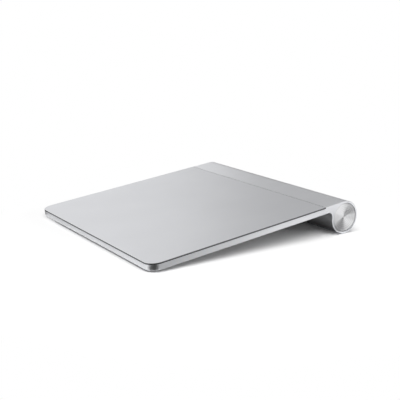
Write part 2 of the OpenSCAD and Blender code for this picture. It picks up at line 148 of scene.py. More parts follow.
def to_plate(point):
    """A point of the row frame as (x, v, h) of the plate frame, in millimetres."""
    c, s = math.cos(TILT), math.sin(TILT)
    dy, dz = point[1] - FRONT_Y, point[2] - FRONT_Z
    return point[0], dy * c + dz * s, -dy * s + dz * c + PLATE_T


_, AXIS_V, AXIS_H = to_plate((0, TUBE_Y, TUBE_Z))
CROWN_R = PLATE_T - AXIS_H
FILLET_V = AXIS_V - math.sqrt((CROWN_R + FILLET_R) ** 2 - (AXIS_H + FILLET_R) ** 2)
POCKET_V = STRIP_V - REAR_LEDGE_W
COVER_V = FILLET_V - RIM_W


# Outlines and solids

def arc(middle, radius, start, end, steps):
    """Points of an arc between two angles in degrees."""
    angles = [math.radians(start + (end - start) * i / steps) for i in range(steps + 1)]
    return [(middle[0] + radius * math.cos(a), middle[1] + radius * math.sin(a)) for a in angles]


def turns(steps):
    """Angles of equal steps round a full turn."""
    return [2 * math.pi * i / steps for i in range(steps)]


def about_tube(x, radius, turn):
    """A point at a radius and an angle about the tube's axis."""
    return Vector((x, TUBE_Y + radius * math.cos(turn), TUBE_Z + radius * math.sin(turn)))


def as_given(a, b, height):
    """A point of the row frame, as it is."""
    return a, b, height


def prism(outline, place, low, high):
    """A closed prism over an outline; place(a, b, height) gives each corner in the row frame."""
    bm = bmesh.new()
    ends = [[bm.verts.new(place(a, b, height)) for a, b in outline] for height in (low, high)]
    for end in ends:
        bm.faces.new(end)
    for i in range(len(outline)):
        k = (i + 1) % len(outline)
        bm.faces.new((ends[0][i], ends[0][k], ends[1][k], ends[1][i]))
    bmesh.ops.recalc_face_normals(bm, faces=bm.faces)
    return bm


def slab(outline, low, high):
    """A prism on the plate, over an outline in x and v."""
    return prism(outline, to_world, low, high)


def rod(x0, x1, radius):
    """A round bar along the tube's axis."""
    outline = arc((0, 0), radius, 0, 360 - 360 / TUBE_STEPS, TUBE_STEPS - 1)
    return prism(outline, lambda a, b, x: (x, TUBE_Y + a, TUBE_Z + b), x0, x1)


def box(low, high, place=as_given):
    """A box from its low and high corners."""
    outline = [(low[0], low[1]), (high[0], low[1]), (high[0], high[1]), (low[0], high[1])]
    return prism(outline, place, low[2], high[2])


def plan_outline(inset, back):
    """Plan of the plate, set in from its edge: round front corners and a square back."""
    side = PAD_W / 2 - inset
    right = arc((PAD_W / 2 - CORNER_R, CORNER_R), CORNER_R - inset, 0, -90, CORNER_STEPS)
    left = [(-x, v) for x, v in reversed(right)]
    return [(side, back), *right, *left, (-side, back)]


def pill_outline(x, v, length, width):
    """A rectangle with round ends, along x."""
    reach = (length - width) / 2
    return [*arc((x + reach, v), width / 2, -90, 90, CORNER_STEPS),
            *arc((x - reach, v), width / 2, 90, 270, CORNER_STEPS)]


def round_outline(low, high, radius):
    """A rectangle with round corners."""
    x0, y0 = low[0] + radius, low[1] + radius
    x1, y1 = high[0] - radius, high[1] - radius
    points = []
    for i, middle in enumerate([(x1, y1), (x0, y1), (x0, y0), (x1, y0)]):
        points += arc(middle, radius, 90 * i, 90 * (i + 1), FOOT_STEPS)
    return points


def eased(x, radius, size, way):
    """Profile of a rounded corner, from an end face at x to a side that runs up x (1) or down it (-1)."""
    # About where the middle of a quarter circle lies
    middle = 0.3 * size
    return [(x, radius - size), (x + way * middle, radius - middle), (x + way * size, radius)]


def lathe(profile, steps=LATHE_STEPS):
    """A turned mesh about the tube's axis, from (x, radius) points that start and end on the axis."""
    bm = bmesh.new()
    rings = []
    for x, radius in profile:
        if radius == 0:
            rings.append([bm.verts.new((x, TUBE_Y, TUBE_Z))])
        else:
            rings.append([bm.verts.new(about_tube(x, radius, turn)) for turn in turns(steps)])
    for a, b in zip(rings, rings[1:]):
        for i in range(steps):
            k = (i + 1) % steps
            corners = [a[i % len(a)], a[k % len(a)], b[k % len(b)], b[i % len(b)]]
            bm.faces.new(list(dict.fromkeys(corners)))
    bmesh.ops.recalc_face_normals(bm, faces=bm.faces)
    return bm


def sweep(points, radius, sides):
    """A round wire along points about the tube's axis, closed at both ends."""
    bm = bmesh.new()
    rings = []
    for i, point in enumerate(points):
        along = (points[min(i + 1, len(points) - 1)] - points[max(i - 1, 0)]).normalized()
        out = Vector((0, point.y - TUBE_Y, point.z - TUBE_Z))
        out = (out - along * out.dot(along)).normalized()
        up = along.cross(out)
        rings.append([bm.verts.new(point + radius * (out * math.cos(turn) + up * math.sin(turn)))
                      for turn in turns(sides)])
    for a, b in zip(rings, rings[1:]):
        for j in range(sides):
            k = (j + 1) % sides
            bm.faces.new((a[j], a[k], b[k], b[j]))
    for end in (rings[0], rings[-1]):
        bm.faces.new(end)
    bmesh.ops.recalc_face_normals(bm, faces=bm.faces)
    return bm


# Carving, rounding and placing

def as_object(name, bm):
    """A new object in the scene that takes over a bmesh."""
    mesh = bpy.data.meshes.new(name)
    bm.to_mesh(mesh)
    bm.free()
    obj = bpy.data.objects.new(name, mesh)
    bpy.context.scene.collection.objects.link(obj)
    return obj


def carve(base, tool):
    """One mesh with another cut out of it, as a new bmesh."""
    target, cutter = as_object("target", base), as_object("cutter", tool)
    step = target.modifiers.new("carve", "BOOLEAN")
    step.object = cutter
    step.operation = "DIFFERENCE"
    step.solver = "EXACT"
    bpy.context.view_layer.update()
    graph = bpy.context.evaluated_depsgraph_get()
    mesh = bpy.data.meshes.new_from_object(target.evaluated_get(graph))
    out = bmesh.new()
    out.from_mesh(mesh)
    for obj in (target, cutter):
        old = obj.data
        bpy.data.objects.remove(obj)
        bpy.data.meshes.remove(old)
    bpy.data.meshes.remove(mesh)
    return out


def sharp_edges(bm, test, place=to_plate):
    """Edges with a hard crease whose two ends pass a test of their place, by default in the plate frame."""
    return [e for e in bm.edges
            if len(e.link_faces) == 2 and e.calc_face_angle(0) > SHARP
            and all(test(*place(p.co)) for p in e.verts)]


def edges_below(bm, z):
    """Edges at or below a height of the row frame."""
    return [e for e in bm.edges if all(p.co.z < z + NEAR for p in e.verts)]


def soften(bm, edges, width, steps=3):
    """Rounds edges over."""
    bmesh.ops.bevel(bm, geom=edges, offset=width, offset_type="OFFSET", segments=steps,
                    profile=0.5, affect="EDGES", clamp_overlap=False)


def piece(name, bm, body, node, slot, finish=None):
    """Makes a mesh in millimetres a piece that rides on a body and, if a node is named, stands for it."""
    bmesh.ops.remove_doubles(bm, verts=bm.verts, dist=MERGE)
    bmesh.ops.recalc_face_normals(bm, faces=bm.faces)
    for face in bm.faces:
        face.smooth = True
    for edge in bm.edges:
        edge.smooth = edge.calc_face_angle(0) < SHARP
    bmesh.ops.scale(bm, vec=(MM, MM, MM), verts=bm.verts)
    obj = as_object(name, bm)
    obj.data.materials.append(MATERIALS[finish or slot])
    normals = obj.modifiers.new("normals", "WEIGHTED_NORMAL")
    normals.keep_sharp = True
    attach(obj, body)
    if node:
        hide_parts(node)


# Shader nodes

def shader(name):
    """A new material with its node tree and Principled shader."""
    material = bpy.data.materials.new(name)
    material.use_nodes = True
    return material, material.node_tree, material.node_tree.nodes["Principled BSDF"]


def link(tree, source, target):
    """Joins one socket to another."""
    tree.links.new(source, target)


def grey(level):
    """A colour without a hue."""
    return level, level, level


def coordinates(tree, stretch=(1, 1, 1), move=(0, 0, 0), kind="Object"):
    """Texture coordinates, moved and then stretched; those of kind Object are metres in the row frame."""
    place = tree.nodes.new("ShaderNodeTexCoord")
    shift = tree.nodes.new("ShaderNodeMapping")
    shift.inputs["Location"].default_value = [a * b for a, b in zip(move, stretch)]
    shift.inputs["Scale"].default_value = stretch
    link(tree, place.outputs[kind], shift.inputs["Vector"])
    return shift.outputs["Vector"]


def along_x(tree, vector):
    """The x of a vector."""
    node = tree.nodes.new("ShaderNodeSeparateXYZ")
    link(tree, vector, node.inputs["Vector"])
    return node.outputs["X"]


def length_of(tree, vector):
    """The length of a vector."""
    node = tree.nodes.new("ShaderNodeVectorMath")
    node.operation = "LENGTH"
    link(tree, vector, node.inputs[0])
    return node.outputs["Value"]


def combined(tree, operation, a, b):
    """Two values put together by a Math node."""
    node = tree.nodes.new("ShaderNodeMath")
    node.operation = operation
    link(tree, a, node.inputs[0])
    link(tree, b, node.inputs[1])
    return node.outputs["Value"]


def noise(tree, vector, size_mm, detail=3):
    """Noise whose spots are about a size."""
    roughness = 0.55
    node = tree.nodes.new("ShaderNodeTexNoise")
    node.inputs["Scale"].default_value = 1 / (size_mm * MM)
    node.inputs["Detail"].default_value = detail
    node.inputs["Roughness"].default_value = roughness
    link(tree, vector, node.inputs["Vector"])
    return node.outputs["Fac"]


def ramp(tree, factor, stops, interpolation="LINEAR"):
    """Colours at places along a factor."""
    node = tree.nodes.new("ShaderNodeValToRGB")
    node.color_ramp.interpolation = interpolation
    elements = node.color_ramp.elements
    while len(elements) < len(stops):
        elements.new(0.5)
    for element, (place, colour) in zip(elements, stops):
        element.position = place
        element.color = (*colour, 1)
    link(tree, factor, node.inputs["Fac"])
    return node.outputs["Color"]


def tinted(tree, factor, dark, light):
    """A noise as colours between a dark and a light one."""
    return ramp(tree, factor, [(NOISE_LOW, dark), (NOISE_HIGH, light)])


def spread(tree, factor, low, high, start=NOISE_LOW, end=NOISE_HIGH):
    """A value that goes from low to high while a factor, by default a noise, goes from start to end."""
    node = tree.nodes.new("ShaderNodeMapRange")
    node.inputs["From Min"].default_value = start
    node.inputs["From Max"].default_value = end
    node.inputs["To Min"].default_value = low
    node.inputs["To Max"].default_value = high
    link(tree, factor, node.inputs["Value"])
    return node.outputs["Result"]


def mixed(tree, factor, a, b):
    """Two colours mixed by a factor."""
    node = tree.nodes.new("ShaderNodeMix")
    node.data_type = "RGBA"
    link(tree, factor, node.inputs["Factor"])
    link(tree, a, node.inputs["A"])
    link(tree, b, node.inputs["B"])
    return node.outputs["Result"]


def mixed_shader(tree, factor, a, b):
    """Two shaders mixed by a factor."""
    node = tree.nodes.new("ShaderNodeMixShader")
    link(tree, factor, node.inputs["Fac"])
    link(tree, a, node.inputs[1])
    link(tree, b, node.inputs[2])
    return node.outputs["Shader"]


def bump(tree, bsdf, height, depth_mm):
    """Gives a shader a relief."""
    node = tree.nodes.new("ShaderNodeBump")
    node.inputs["Strength"].default_value = 1.0
    node.inputs["Distance"].default_value = depth_mm * MM
    link(tree, height, node.inputs["Height"])
    link(tree, node.outputs["Normal"], bsdf.inputs["Normal"])


# Materials

def grained(name, dark, light, roughness, grain_mm, depth_mm, metallic=0.0, stretch=(1, 1, 1), cloud_mm=18):
    """A finish with fine grain, slow clouds of colour and an uneven gloss."""
    material, tree, bsdf = shader(name)
    vector = coordinates(tree, stretch)
    fine = noise(tree, vector, grain_mm, detail=2)
    cloud = noise(tree, vector, cloud_mm)
    link(tree, tinted(tree, cloud, dark, light), bsdf.inputs["Base Color"])
    link(tree, spread(tree, fine, *roughness), bsdf.inputs["Roughness"])
    bsdf.inputs["Metallic"].default_value = metallic
    bump(tree, bsdf, fine, depth_mm)
    return material


def blasted_aluminium():
    """Bead-blasted, anodised aluminium."""
    return grained("blasted_aluminium", dark=(0.83, 0.838, 0.862), light=(0.87, 0.878, 0.902),
                   roughness=(0.37, 0.43), grain_mm=0.12, depth_mm=0.004, metallic=1.0)


def silver_glass():
    """Etched glass with a silver-grey coat behind it, and dark clear edges."""
    roughness, cloud_mm, grain_mm, depth_mm = (0.40, 0.46), 30, 0.1, 0.002
    side_on, face_on = 0.35, 0.75
    material, tree, bsdf = shader("silver_glass")
    vector = coordinates(tree)
    cloud = noise(tree, vector, cloud_mm, detail=2)
    fine = noise(tree, vector, grain_mm, detail=2)
    top = tinted(tree, cloud, (0.70, 0.707, 0.73), (0.72, 0.727, 0.75))
    edge = tinted(tree, fine, (0.13, 0.134, 0.14), (0.18, 0.184, 0.19))
    surface = tree.nodes.new("ShaderNodeNewGeometry")
    facing = tree.nodes.new("ShaderNodeVectorMath")
    facing.operation = "DOT_PRODUCT"
    facing.inputs[1].default_value = (0, -math.sin(TILT), math.cos(TILT))
    link(tree, surface.outputs["Normal"], facing.inputs[0])
    upward = ramp(tree, facing.outputs["Value"], [(side_on, grey(0.0)), (face_on, grey(1.0))])
    link(tree, mixed(tree, upward, edge, top), bsdf.inputs["Base Color"])
    link(tree, spread(tree, fine, *roughness), bsdf.inputs["Roughness"])
    bsdf.inputs["IOR"].default_value = 1.5
    bsdf.inputs["Metallic"].default_value = 0.9
    bump(tree, bsdf, fine, depth_mm)
    return material


def slot_shade_mask(tree):
    """1 in the cap's coin slot and 0 outside it, by the depth below the cap's face and by the radius: where
    the slot's shade is painted.
    """
    start_x, full_x = CAP_LOW.x + 0.1, CAP_LOW.x + 0.6
    full_r, end_r = SLOT_L / 2 + 0.1, SLOT_L / 2 + 0.3
    x = along_x(tree, coordinates(tree))
    radius = length_of(tree, coordinates(tree, stretch=(0, 1, 1), move=TO_AXIS))
    deep = spread(tree, x, 0, 1, start=start_x * MM, end=full_x * MM)
    inside = spread(tree, radius, 0, 1, start=end_r * MM, end=full_r * MM)
    return combined(tree, "MULTIPLY", deep, inside)


def turned_aluminium(name, slotted=False):
    """Turned aluminium: fine rings, gloss that runs across them, and painted shade, a dark grey, in the
    cap's slot.
    """
    groove, crest, roughness = (0.84, 0.845, 0.855), (0.97, 0.973, 0.98), (0.39, 0.44)
    ring_scale, ring_wobble, ring_detail, depth_mm, slot_shade_grain_mm = 300, 1.2, 2, 0.004, 0.3
    quarter_turn = 0.25
    material, tree, bsdf = shader(name)
    vector = coordinates(tree, move=TO_AXIS)
    rings = tree.nodes.new("ShaderNodeTexWave")
    rings.wave_type = "RINGS"
    rings.rings_direction = "X"
    rings.inputs["Scale"].default_value = ring_scale
    rings.inputs["Distortion"].default_value = ring_wobble
    rings.inputs["Detail"].default_value = ring_detail
    link(tree, vector, rings.inputs["Vector"])
    tint = ramp(tree, rings.outputs["Fac"], [(0.2, groove), (0.8, crest)])
    if slotted:
        # Painted shade: within the slot and below the cap's face, the metal is darkened as if in shadow
        grain = noise(tree, vector, slot_shade_grain_mm)
        painted_slot_shade = tinted(tree, grain, (0.20, 0.202, 0.206), (0.24, 0.242, 0.246))
        tint = mixed(tree, slot_shade_mask(tree), tint, painted_slot_shade)
    link(tree, tint, bsdf.inputs["Base Color"])
    link(tree, spread(tree, rings.outputs["Fac"], *roughness), bsdf.inputs["Roughness"])
    bsdf.inputs["Metallic"].default_value = 1.0
    bsdf.inputs["Anisotropic"].default_value = 1.0
    bsdf.inputs["Anisotropic Rotation"].default_value = quarter_turn
    tangent = tree.nodes.new("ShaderNodeTangent")
    tangent.direction_type = "RADIAL"
    tangent.axis = "X"
    link(tree, tangent.outputs["Tangent"], bsdf.inputs["Tangent"])
    bump(tree, bsdf, rings.outputs["Fac"], depth_mm)
    return material


def circuit_board():
    """Green solder mask over copper tracks."""
    roughness, field_mm, grain_mm, depth_mm = (0.30, 0.45), 2.4, 0.3, 0.02
    track_middle, track_edge, field = (0.035, 0.17, 0.10), (0.05, 0.25, 0.15), (0.02, 0.11, 0.07)
    material, tree, bsdf = shader("circuit_board")
    vector = coordinates(tree)
    tracks = tree.nodes.new("ShaderNodeTexVoronoi")
    tracks.distance = "MANHATTAN"
    tracks.feature = "DISTANCE_TO_EDGE"
    tracks.inputs["Scale"].default_value = 1 / (field_mm * MM)
    link(tree, vector, tracks.inputs["Vector"])
    tint = ramp(tree, tracks.outputs["Distance"], [(0.0, track_middle), (0.09, track_edge), (0.16, field)])
    link(tree, tint, bsdf.inputs["Base Color"])
    link(tree, spread(tree, noise(tree, vector, grain_mm), *roughness), bsdf.inputs["Roughness"])
    bump(tree, bsdf, tracks.outputs["Distance"], depth_mm)
    return material


def amber_film():
    """Polyimide film with fine copper lines under it."""
    film, copper, roughness = (0.55, 0.26, 0.05), (0.74, 0.43, 0.12), (0.22, 0.36)
    line_scale, cloud_mm, depth_mm = 180, 1.5, 0.01
    material, tree, bsdf = shader("amber_film")
    vector = coordinates(tree)
    lines = tree.nodes.new("ShaderNodeTexWave")
    lines.bands_direction = "X"
    lines.inputs["Scale"].default_value = line_scale
    link(tree, vector, lines.inputs["Vector"])
    tint = ramp(tree, lines.outputs["Fac"], [(0.35, film), (0.65, copper)])
    link(tree, tint, bsdf.inputs["Base Color"])
    link(tree, spread(tree, noise(tree, vector, cloud_mm), *roughness), bsdf.inputs["Roughness"])
    bump(tree, bsdf, lines.outputs["Fac"], depth_mm)
    return material


def cell_jacket():
    """Plain shrink film round a cell, bare steel at both ends and a paler band by the terminal."""
    steel, film, band = (0.62, 0.62, 0.63), (0.055, 0.058, 0.065), (0.55, 0.56, 0.58)
    # Where each stretch starts, as a share of the cell's length, its colour and how metallic it is
    stretches = [(0.0, steel, 1.0), (0.012, film, 0.0), (0.80, band, 0.3), (0.962, steel, 1.0)]
    roughness, cloud_mm, depth_mm = (0.24, 0.34), 3, 0.01
    material, tree, bsdf = shader("cell_jacket")
    share = along_x(tree, coordinates(tree, kind="Generated"))
    colours = [(start, colour) for start, colour, _ in stretches]
    metals = [(start, grey(metal)) for start, _, metal in stretches]
    link(tree, ramp(tree, share, colours, "CONSTANT"), bsdf.inputs["Base Color"])
    link(tree, ramp(tree, share, metals, "CONSTANT"), bsdf.inputs["Metallic"])
    cloud = noise(tree, coordinates(tree), cloud_mm, detail=2)
    link(tree, spread(tree, cloud, *roughness), bsdf.inputs["Roughness"])
    bump(tree, bsdf, cloud, depth_mm)
    return material


# Slots whose finish is a plain grain
GRAINS = {
    "black_tape": dict(dark=(0.012, 0.012, 0.014), light=(0.022, 0.022, 0.025),
                       roughness=(0.6, 0.75), grain_mm=0.3, depth_mm=0.01),
    "sheet_steel": dict(dark=(0.52, 0.53, 0.55), light=(0.62, 0.63, 0.65), roughness=(0.28, 0.42),
                        grain_mm=0.2, depth_mm=0.004, metallic=1.0, stretch=(0.08, 1, 1)),
    "cover_plastic": dict(dark=(0.26, 0.265, 0.27), light=(0.29, 0.295, 0.30),
                          roughness=(0.42, 0.55), grain_mm=0.25, depth_mm=0.012),
    "chip_black": dict(dark=(0.018, 0.018, 0.02), light=(0.032, 0.032, 0.035),
                       roughness=(0.45, 0.6), grain_mm=0.15, depth_mm=0.01),
    "white_ceramic": dict(dark=(0.78, 0.77, 0.74), light=(0.85, 0.84, 0.81),
                          roughness=(0.3, 0.45), grain_mm=0.2, depth_mm=0.006),
    "tinned_parts": dict(dark=(0.60, 0.58, 0.52), light=(0.72, 0.70, 0.64), roughness=(0.25, 0.45),
                         grain_mm=0.3, depth_mm=0.01, metallic=1.0, cloud_mm=1.5),
    "led_white": dict(dark=(0.85, 0.84, 0.78), light=(0.92, 0.91, 0.86), roughness=(0.2, 0.3),
                      grain_mm=0.2, depth_mm=0.003, cloud_mm=0.8),
    "black_plastic": dict(dark=(0.02, 0.02, 0.022), light=(0.034, 0.034, 0.037),
                          roughness=(0.42, 0.58), grain_mm=0.2, depth_mm=0.01),
    "white_plastic": dict(dark=(0.76, 0.76, 0.75), light=(0.82, 0.82, 0.81),
                          roughness=(0.35, 0.5), grain_mm=0.25, depth_mm=0.01),
    "foot_rubber": dict(dark=(0.44, 0.45, 0.46), light=(0.50, 0.51, 0.52),
                        roughness=(0.7, 0.85), grain_mm=0.18, depth_mm=0.02),
    "seal_rubber": dict(dark=(0.015, 0.015, 0.016), light=(0.03, 0.03, 0.032),
                        roughness=(0.55, 0.7), grain_mm=0.3, depth_mm=0.012),
    "contact_brass": dict(dark=(0.72, 0.52, 0.20), light=(0.83, 0.66, 0.32), roughness=(0.22, 0.36),
                          grain_mm=0.3, depth_mm=0.005, metallic=1.0, cloud_mm=3),
}

MATERIALS = {
    "shell_aluminium": blasted_aluminium(),
    "silver_glass": silver_glass(),
    "turned_aluminium": turned_aluminium("turned_aluminium"),
    "slot_shaded_aluminium": turned_aluminium("slot_shaded_aluminium", slotted=True),
    "circuit_board": circuit_board(),
    "amber_film": amber_film(),
    "cell_case": cell_jacket(),
    **{name: grained(name, **finish) for name, finish in GRAINS.items()},
}


# Pieces of the shell and the plate

def shell_profile():
    """Side view of the shell in v and h: frame under the glass, strip, tube and the hollow ahead of it."""
    touch = math.degrees(math.atan2(-FILLET_R - AXIS_H, FILLET_V - AXIS_V))
    return [(0, 0), (0, LEDGE_TOP), (STRIP_V, LEDGE_TOP), (STRIP_V, PLATE_T),
            *arc((AXIS_V, AXIS_H), CROWN_R, 90, touch - 360, TUBE_STEPS),
            *arc((FILLET_V, -FILLET_R), FILLET_R, touch - 180, 90, FILLET_STEPS)[1:]]


def corner_cutter(side):
    """What is taken off a square front corner, left (-1) or right (1), to round it."""
    out = side * (PAD_W / 2 + PAST)
    middle = side * PAD_W / 2 - side * CORNER_R
    start = 0 if side > 0 else 180
    round_part = arc((middle, CORNER_R), CORNER_R, start, start - side * 90, CORNER_STEPS)
    return slab([(out, CORNER_R), *round_part, (middle, -PAST), (out, -PAST)], -REACH, REACH)


def pocket_cutter():
    """The open inside of the plate, with the ribs that cross it left standing."""
    rib_w, rib_top, rib_x, rib_back, lap = 1.6, 2.2, 24, 25.6, 0.1
    rib_v = POCKET_V - rib_back
    cross_rib = box((-PAD_W / 2, rib_v, RECESS_T), (PAD_W / 2, rib_v + rib_w, rib_top), to_world)
    cutter = carve(slab(plan_outline(RIM_W + LEDGE_W, POCKET_V), -REACH, REACH), cross_rib)
    for x in (-rib_x, rib_x):
        long_rib = box((x - rib_w / 2, 0, RECESS_T), (x + rib_w / 2, rib_v + lap, rib_top), to_world)
        cutter = carve(cutter, long_rib)
    return cutter


def inset_of(x, v):
    """Distance of a point of the plate in from the shell's outline."""
    x = abs(x)
    if v < CORNER_R and x > PAD_W / 2 - CORNER_R:
        return CORNER_R - math.hypot(x - (PAD_W / 2 - CORNER_R), v - CORNER_R)
    return min(PAD_W / 2 - x, v)


def carved_shell():
    """The shell with its corners, pocket, recesses and bore cut, and its edges still sharp."""
    side = PAD_W / 2
    bm = prism(shell_profile(), lambda v, h, x: to_world(x, v, h), -side, side)
    for way in (-1, 1):
        bm = carve(bm, corner_cutter(way))
    bm = carve(bm, pocket_cutter())
    bm = carve(bm, slab(plan_outline(RIM_W, COVER_V), -REACH, RECESS_T))
    bm = carve(bm, rod(-side - PAST, side + PAST, BORE_R))
    gap, below = Vector((REAR_FOOT_GAP, REAR_FOOT_GAP, 0)), Vector((0, 0, PAST))
    for node in ("rear_foot_left", "rear_foot_right"):
        low, high = span(node)
        bm = carve(bm, box(low - gap - below, high + gap))
    bmesh.ops.remove_doubles(bm, verts=bm.verts, dist=MERGE)
    return bm


def shell():
    """The aluminium frame under the glass, which runs out into the cell tube at its back."""
    edge_round, ledge_round, bore_round = 0.28, 0.08, 0.15
    bm = carved_shell()

    def at_end(x):
        return abs(x) > PAD_W / 2 - NEAR

    def at_bore(v, h):
        return math.hypot(v - AXIS_V, h - AXIS_H) < BORE_R + NEAR

    def at_ledge(h):
        return abs(h - LEDGE_TOP) < NEAR

    def at_outline(x, v):
        return inset_of(x, v) < NEAR

    def outer(x, v, h):
        at_foot = abs(h) < NEAR and at_outline(x, v)
        return at_foot or (at_end(x) and not at_bore(v, h) and not at_ledge(h))

    # Creases that run from one end of the shell to the other stay sharp
    outer_edges = [e for e in sharp_edges(bm, outer) if e.calc_length() < PAD_W - CORNER_R]
    soften(bm, outer_edges, edge_round)
    soften(bm, sharp_edges(bm, lambda x, v, h: at_ledge(h) and at_outline(x, v)), ledge_round, steps=2)
    soften(bm, sharp_edges(bm, lambda x, v, h: at_end(x) and at_bore(v, h)), bore_round, steps=2)
    piece("shell", bm, "pad", "body_shell", "shell_aluminium")


def glass():
    """The touch glass, rounded along its top edge and less so along its lower one."""
    top_round, foot_round = 0.12, 0.05
    foot = PLATE_T - GLASS_T
    bm = slab(plan_outline(0, GLASS_L), foot, PLATE_T)
    soften(bm, sharp_edges(bm, lambda x, v, h: h > PLATE_T - NEAR), top_round)
    soften(bm, sharp_edges(bm, lambda x, v, h: h < foot + NEAR), foot_round, steps=2)
    piece("glass", bm, "pad", "glass_plate", "silver_glass")


def seam_gasket():
    """A dark bead in the seam between the glass and the strip behind it."""
    end_gap, thickness, drop, top_round = 0.3, 0.07, 0.03, 0.02
    reach, top = PAD_W / 2 - end_gap, PLATE_T - drop
    bm = box((-reach, STRIP_V - thickness, LEDGE_TOP), (reach, STRIP_V, top), to_world)
    soften(bm, sharp_edges(bm, lambda x, v, h: h > top - NEAR), top_round, steps=2)
    piece("seam_gasket", bm, "pad", None, "black_tape")


def foot_middle(carrier):
    """Middle of a front foot on the plate as (x, v), from the node of its carrier."""
    low, high = span(carrier)
    x, v, _ = to_plate((low + high) / 2)
    return x, v


def cover():
    """The plastic cover under the plate, with a hole for each front foot."""
    rim_round = 0.18
    bm = slab(plan_outline(RIM_W + COVER_GAP, COVER_V - COVER_GAP), 0, COVER_T)
    for carrier in ("foot_carrier_left", "foot_carrier_right"):
        hole = pill_outline(*foot_middle(carrier), FOOT_L + 2 * FOOT_GAP, FOOT_W + 2 * FOOT_GAP)
        bm = carve(bm, slab(hole, -PAST, COVER_T + PAST))
    soften(bm, sharp_edges(bm, lambda x, v, h: h < NEAR), rim_round)
    piece("cover", bm, "pad", "bottom_cover", "cover_plastic")


def front_foot(name, body, node, carrier):
    """A rubber foot that stands square to the plate and is cut level with the desk, with a rounded edge."""
    foot_round = 0.45
    bm = slab(pill_outline(*foot_middle(carrier), FOOT_L, FOOT_W), -REACH, COVER_T)
    whole = [*bm.verts, *bm.edges, *bm.faces]
    cut = bmesh.ops.bisect_plane(bm, geom=whole, plane_co=(0, 0, 0), plane_no=(0, 0, -1), clear_outer=True)
    rim = [e for e in cut["geom_cut"] if isinstance(e, bmesh.types.BMEdge)]
    bmesh.ops.contextual_create(bm, geom=rim)
    bmesh.ops.recalc_face_normals(bm, faces=bm.faces)
    soften(bm, edges_below(bm, 0), foot_round, steps=4)
    piece(name, bm, body, node, "foot_rubber")


def rear_foot(name, node):
    """A rubber strip under the tube, with round corners and a rounded lower edge."""
    corner_r, foot_round = 0.9, 0.22
    low, high = span(node)
    bm = prism(round_outline(low, high, corner_r), as_given, low.z, high.z)
    soften(bm, edges_below(bm, low.z), foot_round)
    piece(name, bm, "pad", node, "foot_rubber")


# Pieces in the tube

def dished_face(face_x, rim):
    """Profile of a shallow round dish with fine rings, from its middle out to its rim."""
    depth, ripple, pitch, count = 0.8, 0.02, 1.1, 96
    ball = (rim * rim + depth * depth) / (2 * depth)
    points = []
    for i in range(count + 1):
        r = rim * i / count
        dish_x = face_x - depth + ball - math.sqrt(ball * ball - r * r)
        fade = min(1.0, (rim - r) / pitch)
        points.append((dish_x - ripple * fade * (1 + math.cos(2 * math.pi * r / pitch)) / 2, r))
    return points


def power_button():
    """A turned disc with a dished face, and a hollow boss behind it."""
    rim_w, chamfer, back_edge, boss_edge = 0.5, 0.14, 0.2, 0.15
    head_t, core_t, boss_r, hole_r = 3.0, 2.0, 3.0, 2.0
    face_x, end_x = BUTTON_HIGH.x, BUTTON_LOW.x
    back_x, core_x = face_x - head_t, face_x - core_t
    profile = [*dished_face(face_x, HEAD_R - rim_w), *eased(face_x, HEAD_R, chamfer, -1),
               (back_x + back_edge, HEAD_R), (back_x, HEAD_R - back_edge), (back_x, boss_r),
               (end_x + boss_edge, boss_r), (end_x, boss_r - boss_edge), (end_x, hole_r),
               (core_x, hole_r), (core_x, 0)]
    piece("button_face", lathe(profile), "button", "power_button", "turned_aluminium")


def cap_profile(groove_x, thread_x):
    """Half section of the cap: head, groove for the seal, barrel and the hollow for the spring."""
    face_edge, head_edge, lip, rows = 0.3, 0.1, 0.2, 60
    groove_r, cup_r, cup_t = 6.87, 5.8, 4.8
    face_x, end_x = CAP_LOW.x, CAP_HIGH.x
    cup_x = face_x + cup_t
    barrel = [(thread_x + (end_x - thread_x) * i / rows, BARREL_R) for i in range(rows + 1)]
    return [(face_x, 0), *eased(face_x, HEAD_R, face_edge, 1), (groove_x - head_edge, HEAD_R),
            (groove_x, HEAD_R - head_edge), (groove_x, groove_r), (thread_x, groove_r), *barrel,
            (end_x, cup_r + lip), (end_x - lip, cup_r), (cup_x, cup_r), (cup_x, 0)]


def cut_thread(bm, start, end):
    """Presses a thread into the cap's barrel, which fades in at its start and gets shallower at its end."""
    pitch, depth, lead, end_share = 1.5, 0.3, 0.4, 0.5
    for vert in bm.verts:
        x = vert.co.x
        out = Vector((0, vert.co.y - TUBE_Y, vert.co.z - TUBE_Z))
        if x > start + NEAR and out.length > BARREL_R - NEAR:
            turn = math.atan2(out.z, out.y) / (2 * math.pi)
            wave = abs(2 * (((x - start) / pitch + turn) % 1) - 1)
            fade = min(1, (x - start) / lead, (end - x) / lead + end_share)
            vert.co -= out.normalized() * depth * wave * fade


def cut_slot(bm, face_x):
    """Mills the coin slot into the cap's face, and breaks its edges."""
    width, depth, edge_round = 1.9, 1.4, 0.12
    low = (face_x - PAST, TUBE_Y - width / 2, TUBE_Z - SLOT_L / 2)
    high = (face_x + depth, TUBE_Y + width / 2, TUBE_Z + SLOT_L / 2)
    bm = carve(bm, box(low, high))

    def at_lip(x, y, z):
        return abs(x - face_x) < NEAR and abs(y - TUBE_Y) < width / 2 + NEAR

    soften(bm, sharp_edges(bm, at_lip, tuple), edge_round, steps=2)
    return bm


def screw_cap():
    """The cap at the tube's left end: a slotted face, a groove for the seal and a threaded barrel."""
    head_t, groove_l = 2.4, 1.2
    groove_x = CAP_LOW.x + head_t
    thread_x = groove_x + groove_l
    bm = lathe(cap_profile(groove_x, thread_x))
    # The face becomes one polygon, so that the slot is cut into it cleanly
    middle = Vector((CAP_LOW.x, TUBE_Y, TUBE_Z))
    bmesh.ops.dissolve_verts(bm, verts=[p for p in bm.verts if (p.co - middle).length < NEAR])
    cut_thread(bm, thread_x, CAP_HIGH.x)
    bm = cut_slot(bm, CAP_LOW.x)
    piece("cap_screw", bm, "screw_cap", "battery_cap", "turned_aluminium", "slot_shaded_aluminium")


